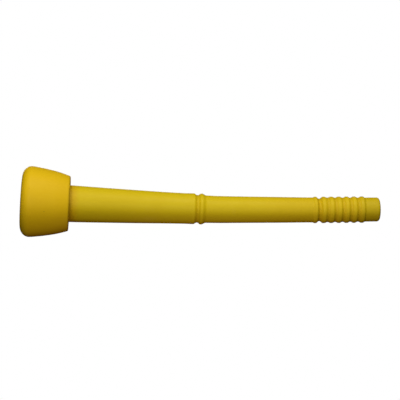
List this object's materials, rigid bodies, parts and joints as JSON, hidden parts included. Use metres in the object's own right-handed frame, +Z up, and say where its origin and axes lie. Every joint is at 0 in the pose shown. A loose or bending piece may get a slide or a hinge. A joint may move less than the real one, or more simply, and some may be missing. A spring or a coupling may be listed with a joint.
{
  "type": "milking machine liner",
  "caption": "One-piece rubber teat cup liner: mouthpiece head, tapered barrel, shell seat collar and ringed short milk tube.",
  "frame": {"origin": "centre of the mouth face, where the teat goes in", "axes": "+X along the head and barrel axis towards the milk tube; +Z up with the part lying level; the milk tube's slight natural bow lies in the XZ plane"},
  "size_m": [0.3003, 0.0592, 0.0592],
  "materials": {
    "liner_rubber": "satin"
  },
  "bodies": {
    "moulded_body": {"mouthpiece_head": "liner_rubber", "throat_web": "liner_rubber", "barrel": "liner_rubber", "seat_collar": "liner_rubber"},
    "lip": {"mouthpiece_lip": "liner_rubber"},
    "upper_tube": {"tube_upper": "liner_rubber"},
    "middle_tube": {"tube_middle": "liner_rubber"},
    "lower_tube": {"tube_lower": "liner_rubber"},
    "first_ring": {"ring_1": "liner_rubber"},
    "second_ring": {"ring_2": "liner_rubber"},
    "third_ring": {"ring_3": "liner_rubber"},
    "fourth_ring": {"ring_4": "liner_rubber"},
    "fifth_ring": {"ring_5": "liner_rubber"},
    "cuff": {"end_cuff": "liner_rubber"}
  },
  "joints": [
    {"name": "lip_flex", "type": "slide", "parent": "moulded_body", "child": "lip", "axis": [1, 0, 0], "range_m": [0, 0.003], "stiffness_N_per_m": 400},
    {"name": "neck_bend", "type": "hinge", "parent": "moulded_body", "child": "upper_tube", "pos_m": [0.16398, 0, 0], "axis": [0, 1, 0], "range_deg": [-25, 25], "stiffness_Nm_per_rad": 0.66},
    {"name": "tube_bend", "type": "hinge", "parent": "upper_tube", "child": "middle_tube", "pos_m": [0.19108, 0, 0.00095], "axis": [0, 1, 0], "range_deg": [-15, 15], "stiffness_Nm_per_rad": 0.7},
    {"name": "tube_bend_b", "type": "hinge", "parent": "middle_tube", "child": "lower_tube", "pos_m": [0.21817, 0, 0.00199], "axis": [0, 1, 0], "range_deg": [-15, 15], "stiffness_Nm_per_rad": 0.65},
    {"name": "ring_bend", "type": "hinge", "parent": "lower_tube", "child": "first_ring", "pos_m": [0.24453, 0, 0.00309], "axis": [0, 1, 0], "range_deg": [-6, 6], "stiffness_Nm_per_rad": 2.4},
    {"name": "ring_bend_b", "type": "hinge", "parent": "first_ring", "child": "second_ring", "pos_m": [0.25127, 0, 0.00345], "axis": [0, 1, 0], "range_deg": [-6, 6], "stiffness_Nm_per_rad": 2.4},
    {"name": "ring_bend_c", "type": "hinge", "parent": "second_ring", "child": "third_ring", "pos_m": [0.25778, 0, 0.00379], "axis": [0, 1, 0], "range_deg": [-6, 6], "stiffness_Nm_per_rad": 2.4},
    {"name": "ring_bend_d", "type": "hinge", "parent": "third_ring", "child": "fourth_ring", "pos_m": [0.2642, 0, 0.00412], "axis": [0, 1, 0], "range_deg": [-6, 6], "stiffness_Nm_per_rad": 2.4},
    {"name": "ring_bend_e", "type": "hinge", "parent": "fourth_ring", "child": "fifth_ring", "pos_m": [0.2707, 0, 0.00446], "axis": [0, 1, 0], "range_deg": [-6, 6], "stiffness_Nm_per_rad": 2.4},
    {"name": "ring_bend_f", "type": "hinge", "parent": "fifth_ring", "child": "cuff", "pos_m": [0.2771, 0, 0.0048], "axis": [0, 1, 0], "range_deg": [-6, 6], "stiffness_Nm_per_rad": 2.4}
  ],
  "couplings": [
    {"joint": "tube_bend_b", "follows": "tube_bend", "ratio": 1},
    {"joint": "ring_bend_b", "follows": "ring_bend", "ratio": 1},
    {"joint": "ring_bend_c", "follows": "ring_bend", "ratio": 1},
    {"joint": "ring_bend_d", "follows": "ring_bend", "ratio": 1},
    {"joint": "ring_bend_e", "follows": "ring_bend", "ratio": 1},
    {"joint": "ring_bend_f", "follows": "ring_bend", "ratio": 1}
  ]
}
